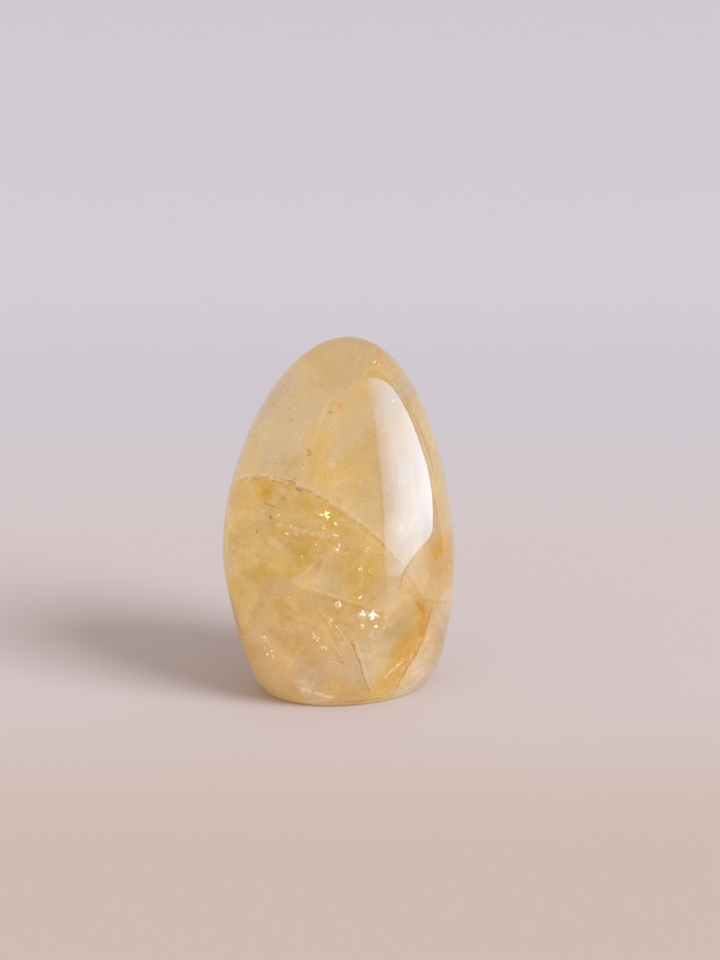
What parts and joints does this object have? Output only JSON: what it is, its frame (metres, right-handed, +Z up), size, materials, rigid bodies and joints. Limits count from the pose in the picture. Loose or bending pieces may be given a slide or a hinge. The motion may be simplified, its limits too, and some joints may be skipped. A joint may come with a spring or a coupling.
{
  "type": "golden healer quartz freeform",
  "caption": "Egg-shaped polished freeform of cloudy golden quartz, with veils and a stained fracture inside, cut flat underneath so that it stands as an ornament.",
  "frame": {"origin": "on the flat base, under the middle of the stone's outline", "axes": "+Z up from the flat base to the tip, +X to the right and -Y towards the viewer in the picture"},
  "size_m": [0.0586, 0.0514, 0.09],
  "materials": {
    "golden_quartz": "polished"
  },
  "bodies": {
    "root": {"quartz_freeform": "golden_quartz"}
  },
  "joints": []
}
